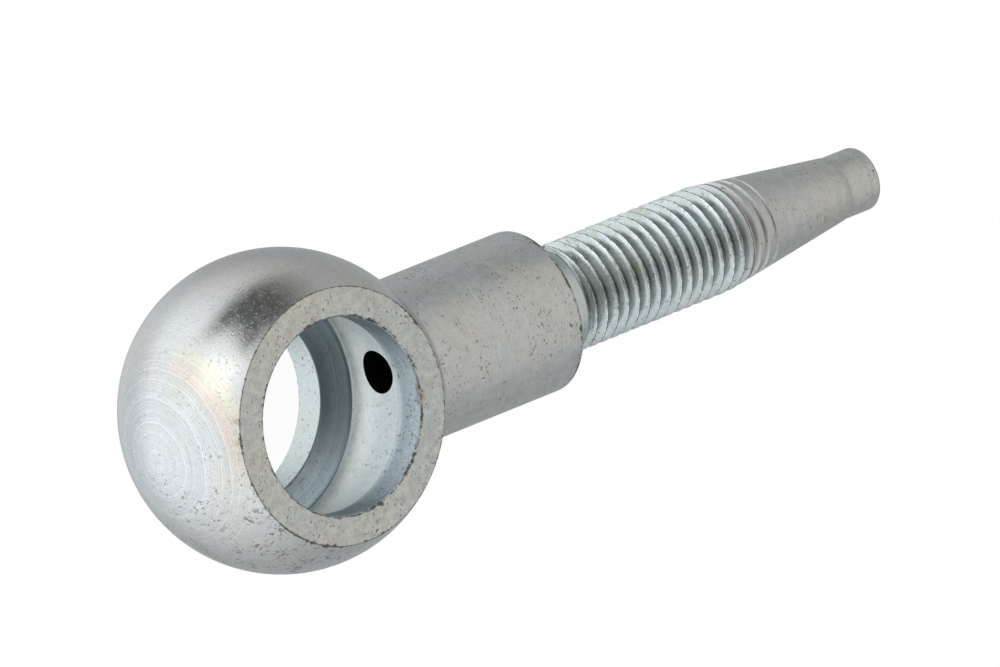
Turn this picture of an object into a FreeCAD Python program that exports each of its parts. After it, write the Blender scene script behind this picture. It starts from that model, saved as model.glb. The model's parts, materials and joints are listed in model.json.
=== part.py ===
"""A banjo fitting: a ball head with a cross bore, a collar, a stem and a tapered hose nose.

One piece of plated steel, turned, milled and drilled from bar. Lengths are in millimetres.
The bore's axis is Z, the stem points along +X, and the origin is the centre of the ball.
The stem carries a fine M8 x 1 thread, which is held here as its blank at the outside diameter.
"""

import FreeCAD, Part
import os
from math import atan, cos, sin
import Sketcher

PART_NAME = "banjo_body"

# Each size that can be set by itself: its name, its value and what it measures.
SIZES = [
    ("ball_diameter", 23.0, "ball that the head is turned to"),
    ("head_width", 14.0, "between the two milled sealing faces"),
    ("bore_diameter", 14.0, "cross bore for the banjo bolt"),
    ("land_width", 2.6, "bored land inside each sealing face"),
    ("chamber_diameter", 18.0, "oil chamber between the two lands"),
    ("chamber_lead", 1.0, "axial width of each slanted side of the chamber"),
    ("passage_diameter", 3.2, "oil passage drilled along the stem"),
    ("collar_diameter", 12.0, "plain collar behind the ball"),
    ("collar_reach", 23.1, "from the bore's axis to the collar's end face"),
    ("collar_blend", 0.8, "hollow blend between ball and collar"),
    ("collar_bevel", 0.3, "broken edge of the collar's end face"),
    ("thread_diameter", 8.0, "outside diameter of the thread and its neck"),
    ("shank_length", 16.7, "from the collar's end face to the start of the taper"),
    ("taper_length", 12.4, "from the shank to the straight tip"),
    ("taper_blend", 4.0, "hollow blend between taper and tip"),
    ("tip_diameter", 4.7, "straight tip that enters the hose first"),
    ("tip_length", 2.5, "straight tip, with its rounded end"),
    ("tip_round", 0.4, "round at the tip's end face"),
    ("cutter_overrun", 1.0, "how far the milling and boring cutters run past the metal"),
]

# Ends of a sketch edge, and the sketch's own origin and axes.
START = 1
END = 2
CENTRE = 3
ORIGIN = (-1, 1)
ACROSS = -1
UPWARD = -2


def make_sheet(doc):
    """The driving dimensions, one row each: meaning, value and alias."""
    sheet = doc.addObject("Spreadsheet::Sheet", "sizes")
    for row, (alias, value, meaning) in enumerate(SIZES, start=1):
        sheet.set(f"A{row}", meaning)
        sheet.set(f"B{row}", str(value))
        sheet.setAlias(f"B{row}", alias)
    doc.recompute()
    return sheet


def origin_feature(body, role):
    """One of the body's own origin planes or axes."""
    return next(f for f in body.Origin.OriginFeatures if f.Role == role)


def new_sketch(body, name, plane):
    """An empty sketch on one of the body's own origin planes."""
    sketch = body.newObject("Sketcher::SketchObject", name)
    sketch.AttachmentSupport = [(origin_feature(body, plane), "")]
    sketch.MapMode = "FlatFace"
    return sketch


def line(sketch, start, end):
    """Add a straight edge and return its number."""
    edge = Part.LineSegment(FreeCAD.Vector(*start, 0), FreeCAD.Vector(*end, 0))
    return sketch.addGeometry(edge, False)


def arc(sketch, start, middle, end, construction=False):
    """Add an arc through three points and return its number."""
    edge = Part.Arc(*(FreeCAD.Vector(*point, 0) for point in (start, middle, end)))
    return sketch.addGeometry(edge, construction)


def polygon(sketch, corners):
    """Add closed straight edges through the corners, each joined to the next."""
    following = corners[1:] + corners[:1]
    edges = [line(sketch, here, there) for here, there in zip(corners, following)]
    for edge, after in zip(edges, edges[1:] + edges[:1]):
        tie(sketch, "Coincident", edge, END, after, START)
    return edges


def tie(sketch, kind, *references):
    """Add a constraint that carries no size."""
    sketch.addConstraint(Sketcher.Constraint(kind, *references))


def bind(sketch, name, kind, references, expression):
    """Add a constraint whose size follows an expression of the sheet's values."""
    value = float(sketch.evalExpression(expression))
    number = sketch.addConstraint(Sketcher.Constraint(kind, *references, value))
    sketch.renameConstraint(number, name)
    sketch.setExpression(f"Constraints.{name}", expression)


def ball_sketch(body, sheet):
    """Half a disc beside the bore's axis."""
    radius = sheet.ball_diameter / 2
    sketch = new_sketch(body, "ball_section", "XZ_Plane")
    rim = arc(sketch, (0, -radius), (radius, 0), (0, radius))
    axis = line(sketch, (0, radius), (0, -radius))
    tie(sketch, "Coincident", rim, CENTRE, *ORIGIN)
    tie(sketch, "Coincident", rim, END, axis, START)
    tie(sketch, "Coincident", axis, END, rim, START)
    tie(sketch, "PointOnObject", rim, START, UPWARD)
    tie(sketch, "PointOnObject", rim, END, UPWARD)
    bind(sketch, "ball", "Radius", (rim,), "sizes.ball_diameter / 2")
    return sketch


def stem_sketch(body, sheet):
    """Half the stem's outline, from the middle of the ball to the tip's end face."""
    ball = sheet.ball_diameter / 2
    collar = sheet.collar_diameter / 2
    shank = sheet.thread_diameter / 2
    tip = sheet.tip_diameter / 2
    blend = sheet.collar_blend
    bevel = sheet.collar_bevel
    collar_end = sheet.collar_reach
    shank_end = collar_end + sheet.shank_length
    taper_end = shank_end + sheet.taper_length
    tip_end = taper_end + sheet.tip_length

    # The collar's blend is centred its own radius away from both the ball and the collar.
    blend_x = ((ball + blend) ** 2 - (collar + blend) ** 2) ** 0.5
    on_ball = ball / (ball + blend)
    root = (blend_x * on_ball, (collar + blend) * on_ball)
    blend_middle = (blend_x - blend / 2, collar + blend * (1 - 0.75 ** 0.5))

    # The taper's blend turns the taper's slope into the straight tip.
    slope = atan((shank - tip) / sheet.taper_length)
    taper_blend = sheet.taper_blend
    dip = [
        (taper_end - taper_blend * sin(turn), tip + taper_blend * (1 - cos(turn)))
        for turn in (slope, slope / 2, 0)
    ]

    # The tip's round, from the end face up to the straight tip.
    inset = sheet.tip_round * (1 - 0.5 ** 0.5)
    nose_low = (tip_end, tip - sheet.tip_round)
    nose_middle = (tip_end - inset, tip - inset)
    nose_high = (tip_end - sheet.tip_round, tip)

    sketch = new_sketch(body, "stem_outline", "XY_Plane")
    rim = arc(sketch, root, (0, ball), (-ball, 0), construction=True)
    inner_face = line(sketch, (0, 0), (0, root[1]))
    core = line(sketch, (0, root[1]), root)
    hollow = arc(sketch, root, blend_middle, (blend_x, collar))
    barrel = line(sketch, (blend_x, collar), (collar_end - bevel, collar))
    slant = line(sketch, (collar_end - bevel, collar), (collar_end, collar - bevel))
    shoulder = line(sketch, (collar_end, collar - bevel), (collar_end, shank))
    stem = line(sketch, (collar_end, shank), (shank_end, shank))
    taper = line(sketch, (shank_end, shank), dip[0])
    hollow_nose = arc(sketch, *dip)
    spigot = line(sketch, dip[-1], nose_high)
    nose = arc(sketch, nose_low, nose_middle, nose_high)
    end_face = line(sketch, nose_low, (tip_end, 0))
    axis = line(sketch, (tip_end, 0), (0, 0))

    tie(sketch, "Coincident", rim, CENTRE, *ORIGIN)
    tie(sketch, "PointOnObject", rim, END, ACROSS)
    tie(sketch, "Tangent", rim, START, hollow, START)
    tie(sketch, "Coincident", inner_face, START, *ORIGIN)
    tie(sketch, "Vertical", inner_face)
    tie(sketch, "Coincident", inner_face, END, core, START)
    tie(sketch, "Horizontal", core)
    tie(sketch, "Coincident", core, END, hollow, START)
    tie(sketch, "Tangent", hollow, END, barrel, START)
    tie(sketch, "Horizontal", barrel)
    tie(sketch, "Coincident", barrel, END, slant, START)
    tie(sketch, "Coincident", slant, END, shoulder, START)
    tie(sketch, "Vertical", shoulder)
    tie(sketch, "Coincident", shoulder, END, stem, START)
    tie(sketch, "Horizontal", stem)
    tie(sketch, "Coincident", stem, END, taper, START)
    tie(sketch, "Tangent", taper, END, hollow_nose, START)
    tie(sketch, "Tangent", hollow_nose, END, spigot, START)
    tie(sketch, "Horizontal", spigot)
    tie(sketch, "Tangent", spigot, END, nose, END)
    tie(sketch, "Tangent", nose, START, end_face, START)
    tie(sketch, "Vertical", end_face)
    tie(sketch, "Coincident", end_face, END, axis, START)
    tie(sketch, "Horizontal", axis)
    tie(sketch, "Coincident", axis, END, *ORIGIN)

    bind(sketch, "ball", "Radius", (rim,), "sizes.ball_diameter / 2")
    bind(sketch, "hollow", "Radius", (hollow,), "sizes.collar_blend")
    bind(sketch, "barrel", "DistanceY", (*ORIGIN, barrel, START), "sizes.collar_diameter / 2")
    bind(sketch, "bevel_width", "DistanceX", (slant, START, slant, END), "sizes.collar_bevel")
    bind(sketch, "bevel_depth", "DistanceY", (slant, END, slant, START), "sizes.collar_bevel")
    bind(sketch, "reach", "DistanceX", (*ORIGIN, shoulder, START), "sizes.collar_reach")
    bind(sketch, "stem", "DistanceY", (*ORIGIN, stem, START), "sizes.thread_diameter / 2")
    bind(sketch, "shank", "DistanceX", (stem, START, stem, END), "sizes.shank_length")
    bind(sketch, "taper", "DistanceX", (taper, START, spigot, START), "sizes.taper_length")
    bind(sketch, "nose_blend", "Radius", (hollow_nose,), "sizes.taper_blend")
    bind(sketch, "spigot", "DistanceY", (*ORIGIN, spigot, START), "sizes.tip_diameter / 2")
    bind(sketch, "nose_round", "Radius", (nose,), "sizes.tip_round")
    bind(sketch, "tip", "DistanceX", (spigot, START, end_face, START), "sizes.tip_length")
    return sketch


def flats_sketch(body, sheet):
    """What the milling cutter takes off each side of the head, seen along the Y axis."""
    level = sheet.head_width / 2
    reach = sheet.ball_diameter / 2 + sheet.cutter_overrun
    across = "sizes.ball_diameter + 2 * sizes.cutter_overrun"
    sketch = new_sketch(body, "sealing_face_cuts", "XZ_Plane")
    for name, side in (("upper", 1), ("lower", -1)):
        corners = [(-reach, side * level), (reach, side * level)]
        corners += [(reach, side * reach), (-reach, side * reach)]
        near, right, far, left = polygon(sketch, corners)
        tie(sketch, "Symmetric", near, START, near, END, UPWARD)
        tie(sketch, "Vertical", right)
        tie(sketch, "Horizontal", far)
        tie(sketch, "Vertical", left)
        bind(sketch, f"{name}_span", "DistanceX", (near, START, near, END), across)
        for part, edge, height in (
            ("level", near, "sizes.head_width / 2"),
            ("top", far, "sizes.ball_diameter / 2 + sizes.cutter_overrun"),
        ):
            points = (*ORIGIN, edge, END) if side > 0 else (edge, END, *ORIGIN)
            bind(sketch, f"{name}_{part}", "DistanceY", points, height)
    return sketch


def hole_sketch(body, name, plane, diameter, expression):
    """One circle about the origin, for a bored or drilled hole."""
    sketch = new_sketch(body, name, plane)
    edge = Part.Circle(FreeCAD.Vector(0, 0, 0), FreeCAD.Vector(0, 0, 1), diameter / 2)
    wall = sketch.addGeometry(edge, False)
    tie(sketch, "Coincident", wall, CENTRE, *ORIGIN)
    bind(sketch, "hole", "Diameter", (wall,), expression)
    return sketch


def chamber_sketch(body, sheet):
    """The chamber's section beside the bore's axis: a straight wall between two slanted sides."""
    bore = sheet.bore_diameter / 2
    wall = sheet.chamber_diameter / 2
    inside = bore - sheet.cutter_overrun
    mouth = sheet.head_width / 2 - sheet.land_width
    flat = mouth - sheet.chamber_lead
    corners = [(inside, mouth), (inside, -mouth), (bore, -mouth)]
    corners += [(wall, -flat), (wall, flat), (bore, mouth)]

    sketch = new_sketch(body, "chamber_section", "XZ_Plane")
    back, low, _, face, _, high = polygon(sketch, corners)
    tie(sketch, "Horizontal", low)
    tie(sketch, "Horizontal", high)
    tie(sketch, "Vertical", low, END, high, START)
    tie(sketch, "Symmetric", back, START, back, END, ACROSS)
    tie(sketch, "Symmetric", face, START, face, END, ACROSS)

    between_lands = "sizes.head_width - 2 * sizes.land_width"
    straight = f"{between_lands} - 2 * sizes.chamber_lead"
    inner = "sizes.bore_diameter / 2 - sizes.cutter_overrun"
    bind(sketch, "inside", "DistanceX", (*ORIGIN, back, START), inner)
    bind(sketch, "mouth", "DistanceY", (back, END, back, START), between_lands)
    bind(sketch, "bore", "DistanceX", (*ORIGIN, low, END), "sizes.bore_diameter / 2")
    bind(sketch, "wall", "DistanceX", (*ORIGIN, face, START), "sizes.chamber_diameter / 2")
    bind(sketch, "straight", "DistanceY", (face, START, face, END), straight)
    return sketch


def add_turned(body, kind, name, sketch, axis):
    """A revolution that adds metal, or a groove that takes it away, about one of the body's axes."""
    feature = body.newObject(f"PartDesign::{kind}", name)
    feature.Profile = sketch
    feature.ReferenceAxis = (origin_feature(body, axis), [""])
    return feature


def cut_through(body, name, sketch, both_ways):
    """A pocket that runs right through the metal, both ways from its sketch or towards +X only."""
    pocket = body.newObject("PartDesign::Pocket", name)
    pocket.Profile = sketch
    pocket.Type = "ThroughAll"
    pocket.SideType = "Symmetric" if both_ways else "One side"
    pocket.Reversed = not both_ways
    return pocket


def check_sound(doc, body):
    """Stop on any object that failed, a body with no sound shape, or a cut that took no metal."""
    for item in doc.Objects:
        if "Invalid" in item.State or "Error" in item.State:
            raise RuntimeError(f"{item.Name} failed: {item.State}")
    if body.Shape.isNull() or not body.Shape.isValid() or len(body.Shape.Solids) != 1:
        raise RuntimeError(f"{body.Name} is not one sound solid")
    before = 0
    for feature in body.Group:
        if feature.TypeId in ("PartDesign::Pocket", "PartDesign::Groove"):
            if feature.Shape.Volume >= before:
                raise RuntimeError(f"{feature.Name} cuts nothing")
        if feature.TypeId.startswith("PartDesign::"):
            before = feature.Shape.Volume


def main():
    doc = FreeCAD.newDocument("banjo_fitting")
    sheet = make_sheet(doc)
    body = doc.addObject("PartDesign::Body", PART_NAME)
    body.Label = PART_NAME

    add_turned(body, "Revolution", "ball", ball_sketch(body, sheet), "Z_Axis")
    add_turned(body, "Revolution", "stem", stem_sketch(body, sheet), "X_Axis")
    cut_through(body, "sealing_faces", flats_sketch(body, sheet), both_ways=True)
    bore = hole_sketch(body, "bore_circle", "XY_Plane", sheet.bore_diameter, "sizes.bore_diameter")
    cut_through(body, "cross_bore", bore, both_ways=True)
    add_turned(body, "Groove", "oil_chamber", chamber_sketch(body, sheet), "Z_Axis")
    drilled = sheet.passage_diameter
    passage = hole_sketch(body, "passage_circle", "YZ_Plane", drilled, "sizes.passage_diameter")
    cut_through(body, "oil_passage", passage, both_ways=False)
    doc.recompute()

    check_sound(doc, body)
    os.makedirs("parts", exist_ok=True)
    body.Shape.exportStep(f"parts/{PART_NAME}.step")


main()
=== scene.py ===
"""The looks of a turned and zinc-plated steel banjo fitting.

The fitting is one skin of quads, laid patch by patch over the solid: the ball head with its two
milled faces, the bore with its oil chamber, the collar, the stem with a real helical thread, and
the tapered nose. Lengths in the mesh code are in millimetres, and the finished mesh is in metres.
"""

import json
import math

import bmesh
import bpy
import numpy as np
from mathutils import Matrix, Vector, noise


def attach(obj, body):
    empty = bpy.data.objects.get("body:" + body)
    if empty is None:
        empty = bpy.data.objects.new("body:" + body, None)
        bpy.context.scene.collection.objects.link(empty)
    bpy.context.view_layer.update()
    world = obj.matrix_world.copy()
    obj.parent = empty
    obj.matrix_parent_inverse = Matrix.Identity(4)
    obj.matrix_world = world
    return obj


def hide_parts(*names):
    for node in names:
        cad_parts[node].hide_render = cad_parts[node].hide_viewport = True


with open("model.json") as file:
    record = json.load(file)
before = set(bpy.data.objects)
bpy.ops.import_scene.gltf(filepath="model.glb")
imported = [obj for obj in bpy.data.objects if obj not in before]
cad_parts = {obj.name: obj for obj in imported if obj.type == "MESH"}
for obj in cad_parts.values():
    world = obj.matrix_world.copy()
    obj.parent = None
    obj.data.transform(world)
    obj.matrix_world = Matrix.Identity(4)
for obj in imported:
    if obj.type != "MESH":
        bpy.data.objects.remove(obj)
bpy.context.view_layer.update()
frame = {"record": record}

MM = 0.001
NODE = "banjo_body"
BODY = "root"

# Sizes that the frame's mounts give.
mounts = {mount["name"]: mount for mount in frame["record"]["mounts"]}
BORE = mounts["banjo_bore"]["dims"]["r_mm"]
FACE = mounts["banjo_bore"]["dims"]["length_mm"] / 2
SHANK = mounts["stem_thread"]["dims"]["r_mm"]
SHANK_LENGTH = mounts["stem_thread"]["dims"]["length_mm"]
TIP = mounts["hose_tip"]["dims"]["r_mm"]
COLLAR_END = mounts["collar_face"]["pos_m"][0] / MM

# The other sizes of the fitting. A round form's size is its radius.
BALL = 11.5
TIP_END = 54.7
TIP_LENGTH = 2.5
COLLAR = 6.0
COLLAR_BEVEL = 0.3
COLLAR_BLEND = 0.8
LAND_END = 4.4
CHAMBER = 9.0
CHAMBER_CORNER = 1.0
CORNER_EASE = 0.08
LAND_EASE = 0.12
BORE_BREAK = 0.1
PASSAGE = 1.6
PASSAGE_BREAK = 0.1
TAPER_START = COLLAR_END + SHANK_LENGTH
TIP_START = TIP_END - TIP_LENGTH
TIP_BLEND = 4.0
TIP_ROUND = 0.4

# The thread. It deepens along the run-in, and runs out where the taper has these radii.
PITCH = 1.0
DEPTH = 0.61
CREST_SHARE = 0.09
CREST_ROUNDING = 0.30
THREAD_START = 24.77
THREAD_TURNS = 20
RUN_IN = (25.1, 25.8)
RUN_OUT = (SHANK - DEPTH, SHANK - 0.3 * DEPTH)

# The wear of the thread's crests, which fades quickly down the flanks.
TORN_SCALE = 1.7
TORN_LIMIT = 0.12
TORN_DEPTH = 0.06
DENT_SCALE = 5.1
DENT_DEPTH = 0.015
WEAR_FADE = 6

# Distances from a worn edge that are given to whole patches, or added to theirs.
NO_EDGE = 9.0
MOUTH_GAP = 0.06
RIM_GAP = 0.05
PASSAGE_GAP = 0.2
CREST_GAP = 0.20

# How finely the skin is divided.
AROUND_STEM = 120
AROUND_BORE = 240
WINDOW_COLUMNS = 18
WALL_ROWS = 24
RING_BESIDE_EDGE = 0.3

# How the patches are joined; the two lengths are in metres.
WELD = 2e-7
SLIVER = 1e-8
SHARP_ANGLE = math.radians(32)

ZONES = ["ball", "face", "land", "chamber", "collar", "thread", "nose", "passage"]


class Skin:
    """Quads gathered patch by patch, each with its zone and each point's distance from a worn edge."""

    def __init__(self):
        self.points = []
        self.faces = []
        self.zones = []
        self.edge_gaps = []

    def add_points(self, grid, edge_gap):
        """Add a grid of points and return their numbers in the same rows and columns."""
        rows, columns = grid.shape[:2]
        first = len(self.points)
        self.points.extend(grid.reshape(-1, 3).tolist())
        self.edge_gaps.extend(np.broadcast_to(edge_gap, (rows, columns)).reshape(-1).tolist())
        return first + np.arange(rows * columns).reshape(rows, columns)

    def add_face(self, numbers, zone):
        self.faces.append([int(number) for number in numbers])
        self.zones.append(ZONES.index(zone))

    def patch(self, grid, zone, closed=False, edge_gap=NO_EDGE):
        """Cover a grid of points with quads; closed joins its last column to its first."""
        numbers = self.add_points(grid, edge_gap)
        if closed:
            numbers = np.hstack([numbers, numbers[:, :1]])
        for low, high in zip(numbers[:-1], numbers[1:]):
            for corners in zip(low[:-1], low[1:], high[1:], high[:-1]):
                self.add_face(corners, zone)
        return numbers

    def to_object(self, name, materials):
        """One closed mesh object in metres, its patches welded where they meet."""
        mesh = bpy.data.meshes.new(name)
        mesh.from_pydata([[MM * x for x in point] for point in self.points], [], self.faces)
        mesh.polygons.foreach_set("material_index", self.zones)
        attribute = mesh.attributes.new("edge_gap", "FLOAT", "POINT")
        attribute.data.foreach_set("value", self.edge_gaps)
        for material in materials:
            mesh.materials.append(material)

        bm = bmesh.new()
        bm.from_mesh(mesh)
        bmesh.ops.remove_doubles(bm, verts=bm.verts, dist=WELD)
        bmesh.ops.dissolve_degenerate(bm, edges=bm.edges, dist=SLIVER)
        bmesh.ops.recalc_face_normals(bm, faces=bm.faces)
        bm.to_mesh(mesh)
        bm.free()
        mesh.shade_smooth()
        mesh.set_sharp_from_angle(angle=SHARP_ANGLE)
        piece = bpy.data.objects.new(name, mesh)
        bpy.context.scene.collection.objects.link(piece)
        return piece


def smooth_step(value, start, end):
    """0 before start, 1 after end, and an easy curve between them."""
    share = np.clip((np.asarray(value, float) - start) / (end - start), 0, 1)
    return share * share * (3 - 2 * share)


def around_x(profile, angles):
    """Points of a profile of (x, radius) turned about the stem's axis."""
    x, radius = np.asarray(profile, float).T
    return np.stack(
        [
            np.broadcast_to(x[:, None], (len(x), len(angles))),
            radius[:, None] * np.cos(angles),
            radius[:, None] * np.sin(angles),
        ],
        axis=-1,
    )


def around_z(profile, angles):
    """Points of a profile of (radius, z) turned about the bore's axis."""
    radius, z = np.asarray(profile, float).T
    return np.stack(
        [
            radius[:, None] * np.cos(angles),
            radius[:, None] * np.sin(angles),
            np.broadcast_to(z[:, None], (len(z), len(angles))),
        ],
        axis=-1,
    )


def arc(centre, radius, start, end, steps):
    """Points of an arc between two angles in degrees, in the profile's own plane."""
    turns = np.radians(np.linspace(start, end, steps + 1))
    return [(centre[0] + radius * math.cos(turn), centre[1] + radius * math.sin(turn)) for turn in turns]


STEM_ANGLES = np.arange(AROUND_STEM) * 2 * math.pi / AROUND_STEM
BORE_ANGLES = np.arange(AROUND_BORE) * 2 * math.pi / AROUND_BORE
FACE_EDGE = math.sqrt(BALL**2 - FACE**2)

# Where the collar's blend meets the ball and the collar.
BLEND_END = math.sqrt((BALL + COLLAR_BLEND) ** 2 - (COLLAR + COLLAR_BLEND) ** 2)
BLEND_TURN = math.atan2(COLLAR + COLLAR_BLEND, BLEND_END)


def add_ball(skin):
    """The ball between the two faces, in rows that circle the stem's axis."""
    beside_stem = np.linspace(BLEND_TURN, math.asin(FACE / BALL), 7)
    along_faces = np.arccos(FACE_EDGE * np.cos(BORE_ANGLES[: AROUND_BORE // 2 + 1]) / BALL)
    cap = np.linspace(math.pi - math.asin(FACE / BALL), math.pi, 26)
    polar = np.concatenate([beside_stem[:-1], along_faces, cap[1:]])
    reach = np.arcsin(np.clip(FACE / np.maximum(BALL * np.sin(polar), 1e-9), -1, 1))
    for side in (1, -1):
        spread = np.linspace(-1, 1, AROUND_STEM // 2 + 1)
        turn = reach[:, None] * spread
        ring = (BALL * np.sin(polar))[:, None]
        x = np.broadcast_to((BALL * np.cos(polar))[:, None], turn.shape)
        grid = np.stack([x, side * ring * np.cos(turn), ring * np.sin(turn)], axis=-1)
        skin.patch(grid, "ball", edge_gap=FACE - np.abs(grid[..., 2]))


def add_faces(skin):
    """The two flat sealing faces, with close rings at both edges for the edge dirt to follow."""
    close, wide, middle = 0.15, 0.5, 8.1
    inner = BORE + BORE_BREAK
    outer = FACE_EDGE
    radii = np.array([inner, inner + close, inner + wide, middle, outer - wide, outer - close, outer])
    gaps = np.minimum(radii - inner, outer - radii)[:, None]
    for side in (1, -1):
        profile = [(radius, side * FACE) for radius in radii]
        skin.patch(around_z(profile, BORE_ANGLES), "face", closed=True, edge_gap=gaps)


def chamber_corner(side):
    """The slanted side of the chamber, from the land to the chamber's wall, with both its edges eased."""
    start = np.array([BORE, LAND_END])
    corner = np.array([CHAMBER, LAND_END - CHAMBER_CORNER])
    slant = [start + share * (corner - start) for share in (0.12, 0.35, 0.6, 0.85)]
    shares = np.linspace(0, 1, 7)[:, None]
    rounded = curve(start + np.array([0, LAND_EASE]), start, slant[0], shares[:-1])
    eased = curve(slant[-1], corner, corner - np.array([0, CORNER_EASE]), shares[1:])
    return [(radius, side * z) for radius, z in [*rounded, *slant, *eased]]


def curve(first, corner, last, shares):
    """Points of a soft bend from one point to another, drawn towards the corner between them."""
    return (1 - shares) ** 2 * first + 2 * shares * (1 - shares) * corner + shares**2 * last


def add_bore(skin):
    """The two lands and the oil chamber between them, up to the window where the passage breaks in."""
    for side in (1, -1):
        mouth = [(BORE + BORE_BREAK, side * FACE), (BORE, side * (FACE - BORE_BREAK))]
        land = [(BORE, side * z) for z in np.linspace(FACE - BORE_BREAK, LAND_END + LAND_EASE, 6)]
        gaps = np.array([FACE - abs(z) for _, z in land])[:, None]
        skin.patch(around_z(mouth, BORE_ANGLES), "land", closed=True, edge_gap=MOUTH_GAP)
        skin.patch(around_z(land, BORE_ANGLES), "land", closed=True, edge_gap=gaps)
        skin.patch(around_z(chamber_corner(side), BORE_ANGLES), "chamber", closed=True)

    flat = LAND_END - CHAMBER_CORNER - CORNER_EASE
    levels = np.linspace(-flat, flat, WALL_ROWS + 1)
    past_window = BORE_ANGLES[WINDOW_COLUMNS : AROUND_BORE - WINDOW_COLUMNS + 1]
    skin.patch(around_z([(CHAMBER, z) for z in levels], past_window), "chamber")
    add_passage(skin, window_outline(levels))


def window_outline(levels):
    """Angle and height of each point round the chamber wall's window, from its middle anticlockwise."""
    middle = WALL_ROWS // 2
    right = BORE_ANGLES[WINDOW_COLUMNS]
    across = BORE_ANGLES[1] * np.arange(WINDOW_COLUMNS, -WINDOW_COLUMNS, -1)
    outline = [(right, z) for z in levels[middle:-1]]
    outline += [(turn, levels[-1]) for turn in across]
    outline += [(-right, z) for z in levels[:0:-1]]
    outline += [(-turn, levels[0]) for turn in across]
    outline += [(right, z) for z in levels[:middle]]
    return np.array(outline)


def add_passage(skin, outline):
    """The drilled passage, from its mouth in the chamber's wall to the tip's end face."""
    beside = CHAMBER * np.sin(outline[:, 0])
    turns = np.unwrap(np.arctan2(outline[:, 1], beside))
    mouth = np.stack([np.arcsin(PASSAGE * np.cos(turns) / CHAMBER), PASSAGE * np.sin(turns)], axis=-1)
    shares = np.array([0, 0.2, 0.4, 0.58, 0.72, 0.83, 0.92, 0.97, 1])[:, None, None]
    spread = outline + shares * (mouth - outline)
    window = np.stack(
        [CHAMBER * np.cos(spread[..., 0]), CHAMBER * np.sin(spread[..., 0]), spread[..., 1]], axis=-1
    )
    gaps = np.hypot(window[..., 1], window[..., 2]) - PASSAGE
    skin.patch(window, "chamber", closed=True, edge_gap=gaps + PASSAGE_GAP)

    # Along the passage, the points drift from the window's angles to the stem's even ones.
    start, end = 10, TIP_END - PASSAGE_BREAK
    rows = [window[-1]]
    for x in np.linspace(start, end, 10):
        share = (x - start) / (end - start)
        angles = turns + share * (STEM_ANGLES - turns)
        rows.append(around_x([(x, PASSAGE)], angles)[0])
    rows.append(around_x([(TIP_END, PASSAGE + PASSAGE_BREAK)], STEM_ANGLES)[0])
    skin.patch(np.array(rows), "passage", closed=True)


def blank_radius(x):
    """Radius of the stem before its thread is cut, from the neck to the start of the tip's blend."""
    slope = (SHANK - TIP) / (TIP_START - TAPER_START)
    return np.where(x < TAPER_START, SHANK, SHANK - slope * (x - TAPER_START))


def groove(phase):
    """Share of the thread's full depth at a phase of the turn, 0 on the crest and 1 at the root."""
    away = np.abs(phase - np.round(phase)) * 2
    share = np.clip((away - CREST_SHARE) / (1 - CREST_SHARE), 0, 1)
    return share - CREST_ROUNDING * np.sin(2 * math.pi * share) / (2 * math.pi)


def crest_wear(x, turn):
    """Small dents and torn spots of the crests, in millimetres, the same on each run."""
    place = Vector((x * 1.3, 5 * math.cos(turn), 5 * math.sin(turn)))
    torn = max(0.0, noise.noise(place * TORN_SCALE) - TORN_LIMIT) * TORN_DEPTH
    dents = abs(noise.noise(place * DENT_SCALE)) * DENT_DEPTH
    return torn + dents


def thread_grid():
    """Points of the threaded stretch, in rows that follow the helix."""
    half_crest = CREST_SHARE / 2
    flank = [0.0, 0.2, 0.4, 0.6, 0.8]
    up = [half_crest + (0.5 - half_crest) * share for share in flank]
    phases = [0.0] + up + [0.5] + [1 - phase for phase in reversed(up)]
    turns = np.concatenate([np.array(phases) + turn for turn in range(THREAD_TURNS)] + [[THREAD_TURNS]])
    columns = np.arange(AROUND_STEM + 1) / AROUND_STEM
    x = THREAD_START + PITCH * (turns[:, None] + columns)
    phase = np.broadcast_to(turns[:, None], x.shape)
    angles = np.broadcast_to(2 * math.pi * columns, x.shape)
    depth = DEPTH * groove(phase)
    worn = np.array([[crest_wear(a, b) for a, b in zip(row, turn)] for row, turn in zip(x, angles)])
    run_in = smooth_step(x, *RUN_IN)
    cut = SHANK - (depth + worn * np.exp(-depth * WEAR_FADE)) * run_in
    radius = np.minimum(blank_radius(x), cut)
    threaded = run_in * smooth_step(blank_radius(x), *RUN_OUT)
    gaps = CREST_GAP + 2 * depth + NO_EDGE * (1 - threaded)
    # The first two rows of each turn lie on its crest, and draw the painted shade line there.
    for line in (0, 1):
        gaps[line :: len(phases)] -= CREST_GAP
    grid = np.stack([x, radius * np.cos(angles), radius * np.sin(angles)], axis=-1)
    return grid, gaps, len(phases)


def add_thread(skin, neck, nose):
    """The helical band and its joins to the neck's ring and the nose's ring, given as point numbers."""
    grid, gaps, rows_per_turn = thread_grid()
    numbers = skin.patch(grid, "thread", edge_gap=gaps)
    for column in range(AROUND_STEM):
        near = [neck[column], neck[(column + 1) % AROUND_STEM]]
        far = [nose[column], nose[(column + 1) % AROUND_STEM]]
        first = numbers[0, column : column + 2]
        last = numbers[-1, column : column + 2]
        # The band starts and ends with a step of one pitch, which these two faces take in.
        if column == AROUND_STEM - 1:
            first = [first[0], *numbers[rows_per_turn::-1, 0]]
        if column == 0:
            last = [*numbers[: -2 - rows_per_turn : -1, -1], last[1]]
        skin.add_face([*near, *reversed(first)], "thread")
        skin.add_face([*last, *reversed(far)], "nose")


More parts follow.
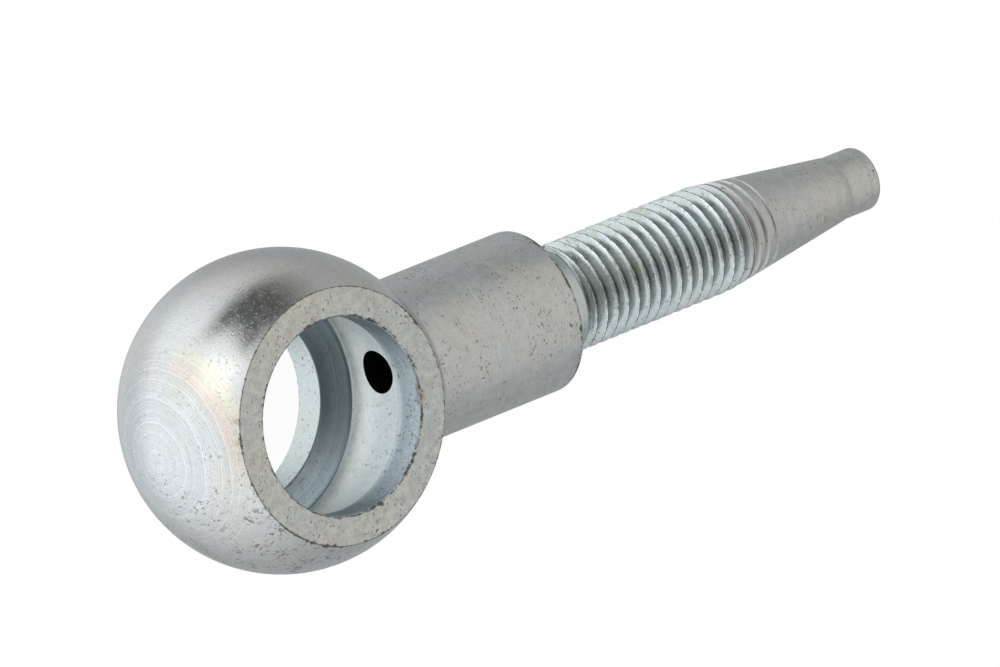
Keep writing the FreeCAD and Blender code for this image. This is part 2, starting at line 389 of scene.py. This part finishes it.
def add_stem(skin):
    """The collar's blend, the collar, the neck, the thread, the taper and the tip."""
    blend_centre = (BLEND_END, COLLAR + COLLAR_BLEND)
    blend = arc(blend_centre, COLLAR_BLEND, math.degrees(BLEND_TURN) + 180, 270, 8)
    skin.patch(around_x(blend, STEM_ANGLES), "collar", closed=True)

    rim_start = COLLAR_END - COLLAR_BEVEL
    barrel = [(x, COLLAR) for x in np.linspace(BLEND_END, rim_start, 14)]
    barrel.insert(-1, (rim_start - RING_BESIDE_EDGE, COLLAR))
    gaps = np.array([rim_start - x for x, _ in barrel])[:, None]
    skin.patch(around_x(barrel, STEM_ANGLES), "collar", closed=True, edge_gap=gaps)

    rim = arc((rim_start, COLLAR - COLLAR_BEVEL), COLLAR_BEVEL, 90, 0, 4)
    skin.patch(around_x(rim, STEM_ANGLES), "collar", closed=True, edge_gap=RIM_GAP)
    shoulder = [(COLLAR_END, radius) for radius in np.linspace(COLLAR - COLLAR_BEVEL, SHANK, 5)]
    skin.patch(around_x(shoulder, STEM_ANGLES), "collar", closed=True)

    slope = math.atan((SHANK - TIP) / (TIP_START - TAPER_START))
    dip = arc((TIP_START, TIP + TIP_BLEND), TIP_BLEND, 270 - math.degrees(slope), 270, 6)
    band_end = THREAD_START + PITCH * (THREAD_TURNS + 1)
    nose_start = band_end + RING_BESIDE_EDGE
    tip_round = arc((TIP_END - TIP_ROUND, TIP - TIP_ROUND), TIP_ROUND, 90, 0, 6)
    profile = [(x, float(blank_radius(x))) for x in np.linspace(nose_start, dip[0][0], 10)]
    profile += dip[1:] + tip_round
    face = [(TIP_END, radius) for radius in np.linspace(TIP - TIP_ROUND, PASSAGE + PASSAGE_BREAK, 4)]
    nose = skin.patch(around_x(profile + face[1:], STEM_ANGLES), "nose", closed=True)
    neck = skin.add_points(around_x([(COLLAR_END, SHANK)], STEM_ANGLES), NO_EDGE)
    add_thread(skin, neck[0], nose[0])


class Nodes:
    """Short calls that add nodes to one tree; each takes sockets or plain values."""

    def __init__(self, tree):
        self.tree = tree

    def add(self, kind, inputs=(), **settings):
        """Add a node, set its properties, and feed its inputs by number or name."""
        node = self.tree.nodes.new(kind)
        for name, value in settings.items():
            setattr(node, name, value)
        for name, value in dict(inputs).items():
            self.feed(node.inputs[name], value)
        return node

    def feed(self, socket, value):
        if isinstance(value, bpy.types.NodeSocket):
            self.tree.links.new(value, socket)
        else:
            socket.default_value = value

    def maths(self, operation, *values):
        return self.add("ShaderNodeMath", enumerate(values), operation=operation).outputs[0]

    def noise(self, vector, scale, detail=2.0, roughness=0.5):
        inputs = {"Vector": vector, "Scale": scale, "Detail": detail, "Roughness": roughness}
        return self.add("ShaderNodeTexNoise", inputs).outputs["Fac"]

    def line_noise(self, along, scale, detail):
        """Noise that changes in one direction only."""
        inputs = {"W": along, "Scale": scale, "Detail": detail}
        return self.add("ShaderNodeTexNoise", inputs, noise_dimensions="1D").outputs["Fac"]

    def ramp(self, value, start, end, low=0.0, high=1.0):
        """An easy step of a value between start and end."""
        inputs = {"Value": value, "From Min": start, "From Max": end, "To Min": low, "To Max": high}
        return self.add("ShaderNodeMapRange", inputs, interpolation_type="SMOOTHSTEP").outputs[0]

    def mix(self, share, first, second, blend="MIX"):
        """Two colours mixed by a share."""
        node = self.add("ShaderNodeMix", data_type="RGBA", blend_type=blend)
        for name, value in zip(("Factor", "A", "B"), (share, first, second)):
            kind = "VALUE" if name == "Factor" else "RGBA"
            socket = next(s for s in node.inputs if s.name == name and s.type == kind)
            self.feed(socket, (*value, 1) if isinstance(value, tuple) else value)
        return next(s for s in node.outputs if s.type == "RGBA")


# How each zone is finished. The tool marks run round the pole, the stem or the bore, or are absent.
# Their depth and the grain's are in millimetres, rough is the roughness, and the rest are shares.
FINISHES = {
    "ball": dict(marks="pole", depth=0.016, tint=0.10, grain=0.003, cloudy=0.06, rough=0.20, specks=0.75),
    "face": dict(marks="none", depth=0.0, tint=0.0, grain=0.007, cloudy=0.20, rough=0.50, specks=0.85),
    "land": dict(marks="bore", depth=0.001, tint=0.02, grain=0.016, cloudy=0.10, rough=0.36, specks=0.60),
    "chamber": dict(marks="bore", depth=0.004, tint=0.14, grain=0.002, cloudy=0.06, rough=0.40, specks=0.20),
    "collar": dict(marks="stem", depth=0.0006, tint=0.03, grain=0.005, cloudy=0.10, rough=0.42, specks=0.75),
    "thread": dict(marks="stem", depth=0.001, tint=0.05, grain=0.004, cloudy=0.09, rough=0.28, specks=0.50),
    "nose": dict(marks="stem", depth=0.001, tint=0.05, grain=0.005, cloudy=0.09, rough=0.42, specks=0.55),
    "passage": dict(marks="stem", depth=0.002, tint=0.05, grain=0.004, cloudy=0.05, rough=0.50, specks=0.10),
}

# The zones' own colours, and the tints and painted light and shade laid over parts of them, all linear.
COLOURS = {
    "ball": (0.62, 0.62, 0.61),
    "face": (0.64, 0.64, 0.605),
    "land": (0.54, 0.585, 0.575),
    "chamber": (0.66, 0.76, 0.80),
    "collar": (0.60, 0.605, 0.595),
    "thread": (0.53, 0.575, 0.57),
    "nose": (0.60, 0.60, 0.585),
    "passage": (0.10, 0.10, 0.11),
}
COOL_POLE = (0.60, 0.635, 0.645)
PINK_ARC = (0.72, 0.60, 0.51)
YELLOW_ARC = (0.69, 0.66, 0.52)
BROWN_TOP = (0.52, 0.45, 0.43)
FACE_BY_STEM = (0.60, 0.62, 0.60)
UPPER_LAND = (0.35, 0.41, 0.45)
UPPER_LAND_MOUTH = (0.47, 0.53, 0.56)
UPPER_LAND_FOOT = (0.52, 0.57, 0.59)
# Painted sparkle on the upper land.
PAINTED_LAND_SPARKLE = (0.86, 0.92, 0.95)
# Painted shade at the top of the chamber's wall, and painted light at its bottom.
SHADED_WALL_TOP = (0.52, 0.565, 0.57)
LIT_WALL_BOTTOM = (0.86, 0.87, 0.84)
# Painted shade in the thread's roots, and the colour of torn crests, partly a painted glint.
THREAD_ROOT_SHADE = (0.24, 0.28, 0.28)
CREST_WEAR_AND_GLINT = (0.90, 0.93, 0.93)
OLIVE_STAIN = (0.40, 0.40, 0.31)
SPECK = (0.13, 0.11, 0.09)
# Dirt at worn edges, also used for the painted shade line along the thread's crests.
DIRT_AND_SHADE = (0.070, 0.058, 0.050)
RUST = (0.34, 0.19, 0.12)

# The part of a noise's range that most of its values lie in.
NOISE_RANGE = (0.3, 0.7)

# How deep the small spots are, in millimetres.
SPOT_DEPTH = 0.006

# Where the thread's colour and roughness turn into the nose's, along the stem.
NOSE_COLOUR_START = (39.6, 41.6)
NOSE_ROUGH_START = (39.6, 41.2)


def place_in_mm(make):
    """The point's place in millimetres, and its three parts."""
    place = make.add("ShaderNodeTexCoord").outputs["Object"]
    scaled = make.add("ShaderNodeVectorMath", {0: place, "Scale": 1 / MM}, operation="SCALE").outputs[0]
    parts = make.add("ShaderNodeSeparateXYZ", {0: scaled}).outputs
    return scaled, parts[0], parts[1], parts[2]


def length(make, first, second):
    """Length of the two parts taken together."""
    squares = make.maths("MULTIPLY_ADD", second, second, make.maths("MULTIPLY", first, first))
    return make.maths("SQRT", squares)


def mark_line(make, marks, x, y, z):
    """Distance across the tool marks in millimetres."""
    if marks == "pole":
        turn = make.maths("ARCTAN2", length(make, y, z), make.maths("MULTIPLY", x, -1.0))
        return make.maths("MULTIPLY", turn, BALL)
    if marks == "bore":
        inward = make.maths("MULTIPLY", length(make, x, y), -0.6)
        return make.maths("ADD", make.maths("ABSOLUTE", z), inward)
    return x


def tool_marks(make, across):
    """Turned lines from 0 to 1: soft bands, fine lines, and a few thin scratches."""
    bands = make.line_noise(across, 1.6, 2.0)
    fine = make.line_noise(across, 8.0, 3.0)
    ridge = make.maths("ABSOLUTE", make.maths("SUBTRACT", make.line_noise(across, 4.0, 1.0), 0.5))
    scratch = make.ramp(ridge, 0.035, 0.0)
    lines = make.maths("MULTIPLY_ADD", bands, 0.30, make.maths("MULTIPLY", fine, 0.50))
    return make.maths("MULTIPLY_ADD", scratch, 0.25, lines)


def speckle(make, place, size, start, end):
    """Small spots, a little longer round the stem than along it."""
    squeeze = {0: place, 1: (1.0, 0.6, 0.6)}
    squeezed = make.add("ShaderNodeVectorMath", squeeze, operation="MULTIPLY").outputs[0]
    return make.ramp(make.noise(squeezed, size, 2.0, 0.6), start, end)


def ball_tints(make, colour, across, y, z):
    """The ball's own colours: a cool pole, a pink and a yellow arc beside it, and a brownish top."""
    cool = make.ramp(across, 5.6, 4.6)
    colour = make.mix(make.maths("MULTIPLY", cool, 0.7), colour, COOL_POLE)
    sector = make.maths("MULTIPLY", make.ramp(z, 0.5, 2.5), make.ramp(y, -3.0, 1.0))
    for middle, tint in ((7.2, PINK_ARC), (8.2, YELLOW_ARC)):
        away = make.maths("ABSOLUTE", make.maths("SUBTRACT", across, middle))
        arc_share = make.maths("MULTIPLY", make.ramp(away, 1.0, 0.1), sector)
        colour = make.mix(make.maths("MULTIPLY", arc_share, 0.65), colour, tint)
    top = make.ramp(y, 8.5, 11.0)
    return make.mix(make.maths("MULTIPLY", top, 0.35), colour, BROWN_TOP)


def land_tints(make, colour, place, z):
    """The upper land is duller than the lower one, with bright painted sparkle towards its mouth."""
    upper = make.ramp(z, -1.0, 1.0)
    dull = make.mix(make.ramp(z, 5.2, 6.9), UPPER_LAND, UPPER_LAND_MOUTH)
    dull = make.mix(make.ramp(z, 5.1, 4.5), dull, UPPER_LAND_FOOT)
    # Painted sparkle, in small bright spots towards the upper land's mouth.
    painted_sparkle = make.ramp(make.noise(place, 4.2, 3.0, 0.7), 0.56, 0.68)
    painted_sparkle = make.maths("MULTIPLY", painted_sparkle, make.ramp(z, 4.8, 6.4))
    dull = make.mix(make.maths("MULTIPLY", painted_sparkle, 0.75), dull, PAINTED_LAND_SPARKLE)
    return make.mix(upper, colour, dull)


def chamber_painted_shading(make, colour, x, y, z):
    """Painted light and shade in the chamber: the wall brightens downwards, its corners get a painted shade
    line, and the sides take painted shade towards the lands.
    """
    # Painted shade high on the wall and painted light low on it.
    wall = make.mix(make.ramp(z, 0.5, -2.9), SHADED_WALL_TOP, LIT_WALL_BOTTOM)
    height = make.maths("ABSOLUTE", z)
    colour = make.mix(make.ramp(height, 3.4, 3.1), colour, wall)
    # A painted shade line in the corners between the wall and the slants.
    from_corner = make.maths("ABSOLUTE", make.maths("SUBTRACT", height, 3.36))
    corner = make.ramp(from_corner, 0.12, 0.02, 1.0, 0.6)
    colour = make.mix(1.0, colour, corner, "MULTIPLY")
    # Painted shade on the slanted sides towards the lands.
    side = make.ramp(length(make, x, y), 7.0, 8.4, 0.74, 1.05)
    return make.mix(1.0, colour, side, "MULTIPLY")


def thread_tints_and_shading(make, colour, place, gap, x):
    """Painted shade in the roots, torn crests brightened with a painted glint, and a few olive stains, up to
    the dull nose.
    """
    # Painted shade deep in the thread's roots.
    root = make.maths("MULTIPLY", make.ramp(gap, 0.9, 1.3), make.ramp(gap, 3.0, 2.0))
    colour = make.mix(make.maths("MULTIPLY", root, 0.6), colour, THREAD_ROOT_SHADE)
    # Torn crests, their bright colour partly a painted glint.
    torn = make.ramp(make.noise(place, 3.0, 3.0), 0.48, 0.56)
    torn = make.maths("MULTIPLY", make.ramp(gap, 0.30, 0.22), torn)
    colour = make.mix(make.maths("MULTIPLY", torn, 0.85), colour, CREST_WEAR_AND_GLINT)
    stain = make.ramp(make.noise(place, 0.37, 2.0), 0.60, 0.70)
    colour = make.mix(make.maths("MULTIPLY", stain, 0.45), colour, OLIVE_STAIN)
    return make.mix(make.ramp(x, *NOSE_COLOUR_START), colour, COLOURS["nose"])


def plate_colour(make, zone, place, across, gap, x, y, z):
    """The zone's own colour in broad warm and cool clouds, with its tints and its painted light and shade.
    """
    clouds = make.noise(place, 0.17, 3.0, 0.6)
    red, green, blue = COLOURS[zone]
    warm = make.maths("MULTIPLY", make.ramp(clouds, 0.48, 0.66), 0.6)
    cool = make.maths("MULTIPLY", make.ramp(clouds, 0.50, 0.34), 0.5)
    colour = make.mix(warm, (red, green, blue), (red * 1.01, green * 0.99, blue * 0.90))
    colour = make.mix(cool, colour, (red * 0.93, green * 0.98, blue * 1.04))
    if zone == "ball":
        colour = ball_tints(make, colour, across, y, z)
    if zone == "thread":
        colour = thread_tints_and_shading(make, colour, place, gap, x)
    if zone == "face":
        by_stem = make.maths("MULTIPLY", make.ramp(x, -2.0, 8.0), 0.8)
        colour = make.mix(by_stem, colour, FACE_BY_STEM)
    if zone == "land":
        colour = land_tints(make, colour, place, z)
    if zone == "chamber":
        colour = chamber_painted_shading(make, colour, x, y, z)
    return colour


def marks_shown(make, zone, across, x, y, z):
    """Share of the tool marks that shows, less at the ball's pole and rim and on the chamber's wall."""
    if zone == "ball":
        by_rim = make.ramp(across, 9.5, 6.0, 0.2, 1.0)
        return make.maths("MULTIPLY", by_rim, make.ramp(across, 1.5, 4.0, 0.8, 1.0))
    if zone == "chamber":
        by_land = make.ramp(length(make, x, y), 7.4, 8.4, 0.35, 1.0)
        on_wall = make.ramp(make.maths("ABSOLUTE", z), 2.9, 3.3, 0.15, 1.0)
        return make.maths("MULTIPLY", by_land, on_wall)
    return 1.0


def dark_specks(make, zone, place, across, y):
    """All small spots, and the share that is dark: loose groups, and close pitting low on the ball."""
    groups = make.ramp(make.noise(place, 0.6, 2.0), 0.42, 0.60, 0.12, 1.0)
    small = speckle(make, place, 5.5, 0.58, 0.70)
    large = speckle(make, place, 2.2, 0.69, 0.75)
    spots = make.maths("MAXIMUM", small, large)
    if zone == "ball":
        groups = make.maths("MULTIPLY", groups, make.ramp(y, 3.0, -6.0, 0.35, 1.2))
        pitted = make.maths("MULTIPLY", make.ramp(y, -1.0, -5.0), make.ramp(across, 4.5, 8.5))
        pitted = make.maths("MULTIPLY", pitted, make.ramp(across, 19.0, 14.0, 0.15, 0.9))
        pitted = make.maths("MULTIPLY", pitted, make.ramp(make.noise(place, 0.5, 2.0), 0.38, 0.58))
        small_pits = speckle(make, place, 3.1, 0.57, 0.66)
        large_pits = speckle(make, place, 1.9, 0.60, 0.68)
        pits = make.maths("MAXIMUM", small_pits, large_pits)
        spots = make.maths("MAXIMUM", spots, make.maths("MULTIPLY", pitted, pits))
        groups = make.maths("MAXIMUM", groups, pitted)
    dark = make.maths("MULTIPLY", make.maths("MULTIPLY", spots, groups), FINISHES[zone]["specks"])
    return spots, dark


def edge_marks(make, zone, place, gap):
    """Shares of dirt and rust at worn edges: a thin broken line, wider in places, and rust beside it. On the
    thread the thin line is painted shade along the crests.
    """
    wide = make.ramp(make.noise(place, 0.45, 2.0), 0.48, 0.66, 0.10, 0.30)
    ragged = make.maths("MULTIPLY", make.ramp(make.noise(place, 2.6, 5.0, 0.8), 0.36, 0.74), wide)
    ragged = make.ramp(make.maths("SUBTRACT", ragged, gap), -0.03, 0.04)
    # On the thread, the thin dark line is painted shade at the crest's far side.
    if zone == "thread":
        broken = make.ramp(make.noise(place, 2.2, 3.0), 0.36, 0.50, 0.35, 0.95)
        thin = make.maths("MULTIPLY", make.ramp(gap, 0.18, 0.07), broken)
    else:
        thin = make.ramp(gap, 0.055, 0.02, 0.0, 0.6)
    dirt_and_shade = make.maths("MULTIPLY", make.maths("MAXIMUM", ragged, thin), 0.85)
    rusty = make.ramp(make.noise(place, 0.8, 3.0), 0.60, 0.70)
    near_edge = make.ramp(gap, 0.9, 0.0)
    rust = make.maths("MULTIPLY", make.maths("MULTIPLY", rusty, near_edge), 0.4)
    return dirt_and_shade, rust


def zinc_plate(zone):
    """Zinc-plated steel with the tool marks, specks, stains, worn edges and painted light and shade of one
    zone.
    """
    finish = FINISHES[zone]
    material = bpy.data.materials.new(f"zinc_{zone}")
    material.use_nodes = True
    make = Nodes(material.node_tree)
    shader = material.node_tree.nodes["Principled BSDF"]
    place, x, y, z = place_in_mm(make)
    gap = make.add("ShaderNodeAttribute", attribute_name="edge_gap").outputs["Fac"]

    # The tool marks are a little wavy.
    across = mark_line(make, finish["marks"], x, y, z)
    across = make.maths("MULTIPLY_ADD", make.noise(place, 0.4), 0.35, across)
    lines = tool_marks(make, across)
    shown = marks_shown(make, zone, across, x, y, z)

    mottle = make.noise(place, 1.6, 8.0, 0.7)
    grain = make.noise(place, 9.0, 3.0, 0.7)
    spots, specks = dark_specks(make, zone, place, across, y)
    dirt_and_shade, rust = edge_marks(make, zone, place, gap)

    colour = plate_colour(make, zone, place, across, gap, x, y, z)
    line_tint = make.ramp(lines, *NOISE_RANGE, -finish["tint"], finish["tint"])
    line_tint = make.maths("MULTIPLY", line_tint, shown)
    cloudy = make.ramp(mottle, *NOISE_RANGE, 1 - finish["cloudy"], 1 + 0.8 * finish["cloudy"])
    tone = make.maths("MULTIPLY", cloudy, make.ramp(grain, *NOISE_RANGE, 0.92, 1.07))
    tone = make.maths("MULTIPLY", tone, make.maths("ADD", line_tint, 1.0))
    colour = make.mix(1.0, colour, tone, "MULTIPLY")
    colour = make.mix(specks, colour, SPECK)
    colour = make.mix(rust, colour, RUST)
    # Dirt at worn edges, and the painted shade line on the thread's crests.
    colour = make.mix(dirt_and_shade, colour, DIRT_AND_SHADE)
    make.feed(shader.inputs["Base Color"], colour)

    # Specks, dirt, the thread's painted crest shade and rust are rougher than the plating, and less
    # metallic.
    dull = make.maths("MAXIMUM", specks, make.maths("MAXIMUM", dirt_and_shade, rust))
    rough = make.ramp(mottle, *NOISE_RANGE, finish["rough"] - 0.05, finish["rough"] + 0.06)
    if zone == "thread":
        rough = make.maths("ADD", rough, make.ramp(x, *NOSE_ROUGH_START, 0.0, 0.20))
    make.feed(shader.inputs["Roughness"], make.maths("MULTIPLY_ADD", dull, 0.35, rough))
    make.feed(shader.inputs["Metallic"], make.maths("MULTIPLY_ADD", dull, -0.7, 1.0))

    # The bump's height is in metres.
    height = make.maths("MULTIPLY", make.maths("MULTIPLY", lines, shown), finish["depth"] * MM)
    height = make.maths("MULTIPLY_ADD", mottle, finish["grain"] * MM, height)
    height = make.maths("MULTIPLY_ADD", grain, 0.3 * finish["grain"] * MM, height)
    height = make.maths("MULTIPLY_ADD", spots, -SPOT_DEPTH * MM, height)
    bump = make.add("ShaderNodeBump", {"Height": height, "Strength": 1.0, "Distance": 1.0})
    make.feed(shader.inputs["Normal"], bump.outputs[0])
    return material


def build_fitting():
    skin = Skin()
    add_ball(skin)
    add_faces(skin)
    add_bore(skin)
    add_stem(skin)
    piece = skin.to_object("fitting_skin", [zinc_plate(zone) for zone in ZONES])
    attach(piece, BODY)
    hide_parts(NODE)


# The camera's place in metres and its own axes, fitted to the outline in the photograph.
CAMERA_PLACE = (-0.80512, 0.32597, 1.10114)
CAMERA_RIGHT = (0.75342, -0.20380, 0.62516)
CAMERA_UP = (0.30308, 0.95137, -0.05512)
CAMERA_BACK = (-0.58352, 0.23100, 0.77855)

# The floor's radius is in metres. The slack, in millimetres, keeps it just clear of the collar.
FLOOR_RADIUS = 2.5
FLOOR_SLACK = 0.001

# The studio: the point that the lamp aims at, the compass direction that is brightest, the direction
# of the dark opening, the levels straight above and below, and the tints of the low and high light.
LAMP_AIM = (0.01, 0, 0)
BRIGHT_SIDE = (-0.940, 0.342)
OPENING = (-0.45, -0.10, 0.89)
LEVEL_ABOVE = 0.82
LEVEL_BELOW = 0.85
COOL_LIGHT = (0.96, 1.0, 1.03)
WARM_LIGHT = (1.0, 0.995, 0.97)


def add_camera():
    """The camera at the photograph's viewing angle, rolled as the photograph is, with a long lens."""
    data = bpy.data.cameras.new("camera")
    data.lens = 720
    data.sensor_width = 36
    data.clip_start = 0.05
    data.clip_end = 10
    camera = bpy.data.objects.new("camera", data)
    turned = Matrix((CAMERA_RIGHT, CAMERA_UP, CAMERA_BACK)).transposed().to_4x4()
    camera.matrix_world = Matrix.Translation(CAMERA_PLACE) @ turned
    bpy.context.scene.collection.objects.link(camera)
    bpy.context.scene.camera = camera


def add_lamp(name, azimuth, elevation, distance, size, power, colour):
    """A square soft lamp that faces the fitting from a direction given in degrees."""
    data = bpy.data.lights.new(name, "AREA")
    data.size = size
    data.energy = power
    data.color = colour
    lamp = bpy.data.objects.new(name, data)
    a, e = math.radians(azimuth), math.radians(elevation)
    direction = Vector((math.cos(a) * math.cos(e), math.sin(a) * math.cos(e), math.sin(e)))
    lamp.location = direction * distance + Vector(LAMP_AIM)
    lamp.rotation_euler = direction.to_track_quat("Z", "Y").to_euler()
    bpy.context.scene.collection.objects.link(lamp)


def add_floor():
    """A pale floor that touches the lower face's edge and the collar's rim, where the fitting rests."""
    front = Vector((FACE_EDGE, 0, -FACE)) * MM
    turn = math.atan2(FACE - COLLAR - FLOOR_SLACK, COLLAR_END - COLLAR_BEVEL - FACE_EDGE)
    bpy.ops.mesh.primitive_circle_add(vertices=96, radius=FLOOR_RADIUS, fill_type="NGON")
    floor = bpy.context.object
    floor.name = "floor"
    floor.data.transform(Matrix.Rotation(-turn, 4, "Y"))
    floor.data.transform(Matrix.Translation(front))
    floor.data.materials.append(floor_paint())


def studio_sides(make, x, y, height):
    """The light's level by compass direction, and the share of a dark card with a notch in its side."""
    toward = make.maths("MULTIPLY_ADD", y, BRIGHT_SIDE[1], make.maths("MULTIPLY", x, BRIGHT_SIDE[0]))
    facing = make.maths("DIVIDE", toward, length(make, x, y))
    level = make.ramp(facing, -0.8, 0.95, 0.47, 1.38)
    turn = make.maths("ARCTAN2", y, x)
    notch = make.maths("ABSOLUTE", make.maths("ADD", height, 0.08))
    edge = make.maths("MULTIPLY_ADD", notch, -0.75, turn)
    card = make.maths("MULTIPLY", make.ramp(turn, 0.66, 1.42), make.ramp(edge, 2.0, 1.75))
    tall = make.maths("MULTIPLY", make.ramp(height, 0.42, 0.18), make.ramp(height, -0.46, -0.26))
    return level, make.maths("MULTIPLY", card, tall)


def floor_paint():
    """White paint that keeps the shadow. The camera sees it glow, and metal sees the studio through it."""
    material = bpy.data.materials.new("floor")
    material.use_nodes = True
    make = Nodes(material.node_tree)
    paint = material.node_tree.nodes["Principled BSDF"]
    paint.inputs["Base Color"].default_value = (0.9, 0.9, 0.9, 1)
    paint.inputs["Roughness"].default_value = 0.9
    path = make.add("ShaderNodeLightPath").outputs
    glow = make.add("ShaderNodeEmission", {"Strength": 1.06})
    share = make.maths("MULTIPLY", path["Is Camera Ray"], 0.9)
    mixed = make.add("ShaderNodeMixShader", {0: share, 1: paint.outputs[0], 2: glow.outputs[0]})
    clear = make.add("ShaderNodeBsdfTransparent")
    surface = {0: path["Is Glossy Ray"], 1: mixed.outputs[0], 2: clear.outputs[0]}
    seen = make.add("ShaderNodeMixShader", surface)
    make.feed(material.node_tree.nodes["Material Output"].inputs["Surface"], seen.outputs[0])
    return material


def add_world():
    """The studio all round, with its dark card and a dark opening above. The camera sees plain white."""
    world = bpy.data.worlds.new("studio")
    bpy.context.scene.world = world
    world.use_nodes = True
    make = Nodes(world.node_tree)
    direction = make.add("ShaderNodeTexCoord").outputs["Generated"]
    x, y, z = make.add("ShaderNodeSeparateXYZ", {0: direction}).outputs
    level, card = studio_sides(make, x, y, z)
    level = make.maths("MULTIPLY", level, make.maths("MULTIPLY_ADD", card, -0.88, 1.0))
    high = make.ramp(z, 0.25, 0.65)
    low = make.ramp(z, -0.80, -1.0)
    level = make.add("ShaderNodeMix", {0: high, 2: level, 3: LEVEL_ABOVE}).outputs[0]
    level = make.add("ShaderNodeMix", {0: low, 2: level, 3: LEVEL_BELOW}).outputs[0]
    opening = {0: direction, 1: tuple(Vector(OPENING).normalized())}
    facing = make.add("ShaderNodeVectorMath", opening, operation="DOT_PRODUCT").outputs["Value"]
    level = make.maths("MULTIPLY", level, make.ramp(facing, 0.72, 0.92, 1.0, 0.12))
    camera_ray = make.add("ShaderNodeLightPath").outputs["Is Camera Ray"]
    tint = make.mix(high, COOL_LIGHT, WARM_LIGHT)
    strength = make.add("ShaderNodeMix", {0: camera_ray, 2: level, 3: 1.0}).outputs[0]
    background = world.node_tree.nodes["Background"]
    make.feed(background.inputs["Color"], make.mix(camera_ray, tint, (1.0, 1.0, 1.0)))
    make.feed(background.inputs["Strength"], strength)


build_fitting()
add_floor()
add_world()
add_lamp("key", azimuth=140, elevation=2, distance=0.6, size=0.26, power=0.09, colour=(1, 0.95, 0.82))
add_camera()
bpy.context.scene.view_settings.view_transform = "Standard"
